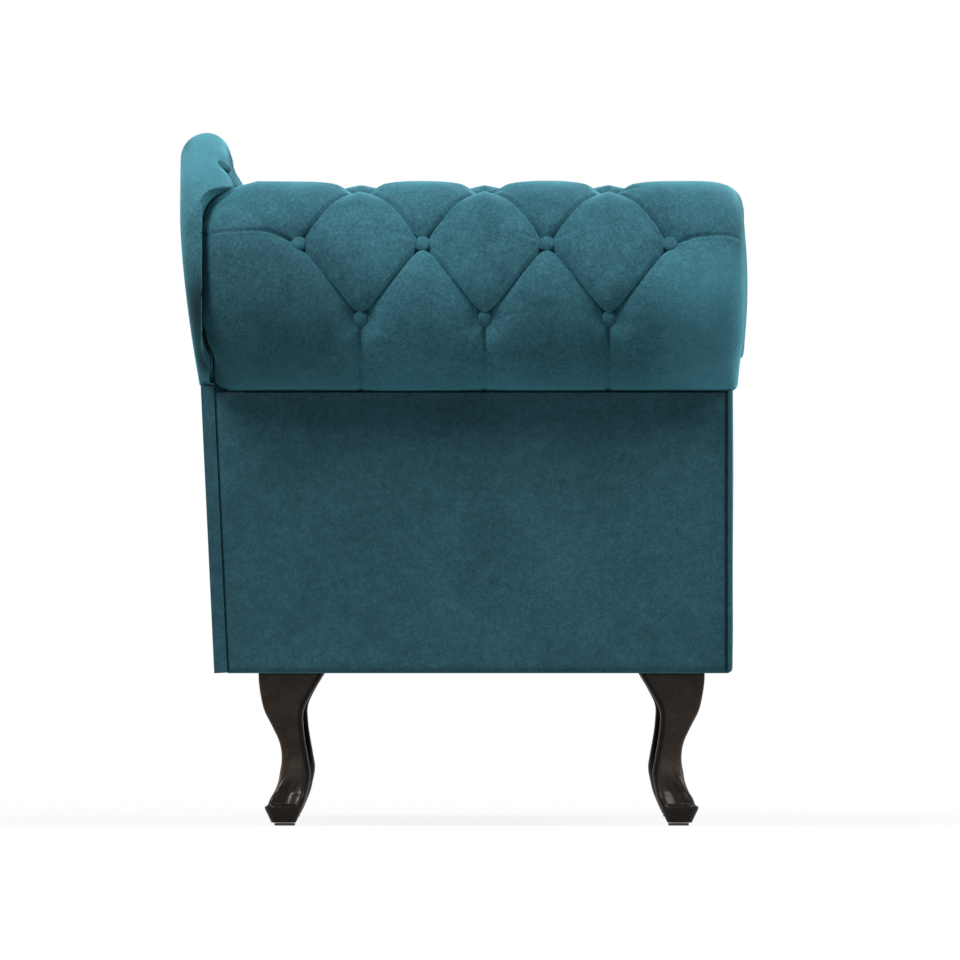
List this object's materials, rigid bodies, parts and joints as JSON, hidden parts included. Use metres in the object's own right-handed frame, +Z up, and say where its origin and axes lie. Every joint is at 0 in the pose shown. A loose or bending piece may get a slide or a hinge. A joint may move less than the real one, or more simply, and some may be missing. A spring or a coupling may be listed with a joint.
{
  "type": "fainting couch",
  "caption": "Fainting couch with a deep-buttoned rolled arm at one end, a swept buttoned back, a loose seat cushion and cabriole legs.",
  "frame": {"origin": "on the floor, under the middle of the couch's bounding box", "axes": "+X from the head end with the arm roll to the foot end, +Y from the front to the back, +Z up"},
  "size_m": [1.5996, 0.655, 0.7999],
  "materials": {
    "velvet": "short teal velvet pile over padding",
    "pine": "planed softwood, unfinished",
    "dark_wood": "dark stain under gloss lacquer",
    "steel": "zinc-plated, plain",
    "black_cloth": "thin black lining cloth",
    "nylon": "matt black nylon"
  },
  "bodies": {
    "root": {"front_rail": "pine", "rear_rail": "pine", "head_rail": "pine", "foot_rail": "pine", "stretchers": "pine", "corner_blocks": "pine", "seat_springs": "steel", "spring_clips": "steel", "spring_cover": "black_cloth", "seat_cushion": "velvet", "front_panel": "velvet", "foot_panel": "velvet", "head_panel": "velvet", "back_board": "velvet", "dust_cover": "black_cloth", "arm_front_board": "pine", "arm_rear_board": "pine", "arm_slats": "pine", "arm_pad": "velvet", "arm_buttons": "velvet", "arm_facing": "velvet", "back_pad": "velvet", "back_wing": "velvet", "back_buttons": "velvet", "leg_head_front": "dark_wood", "leg_head_rear": "dark_wood", "leg_foot_front": "dark_wood", "leg_foot_rear": "dark_wood", "leg_bolts": "steel", "leg_tee_nuts": "steel", "leg_glides": "nylon", "back_bolts": "steel", "arm_bolts": "steel"}
  },
  "joints": []
}
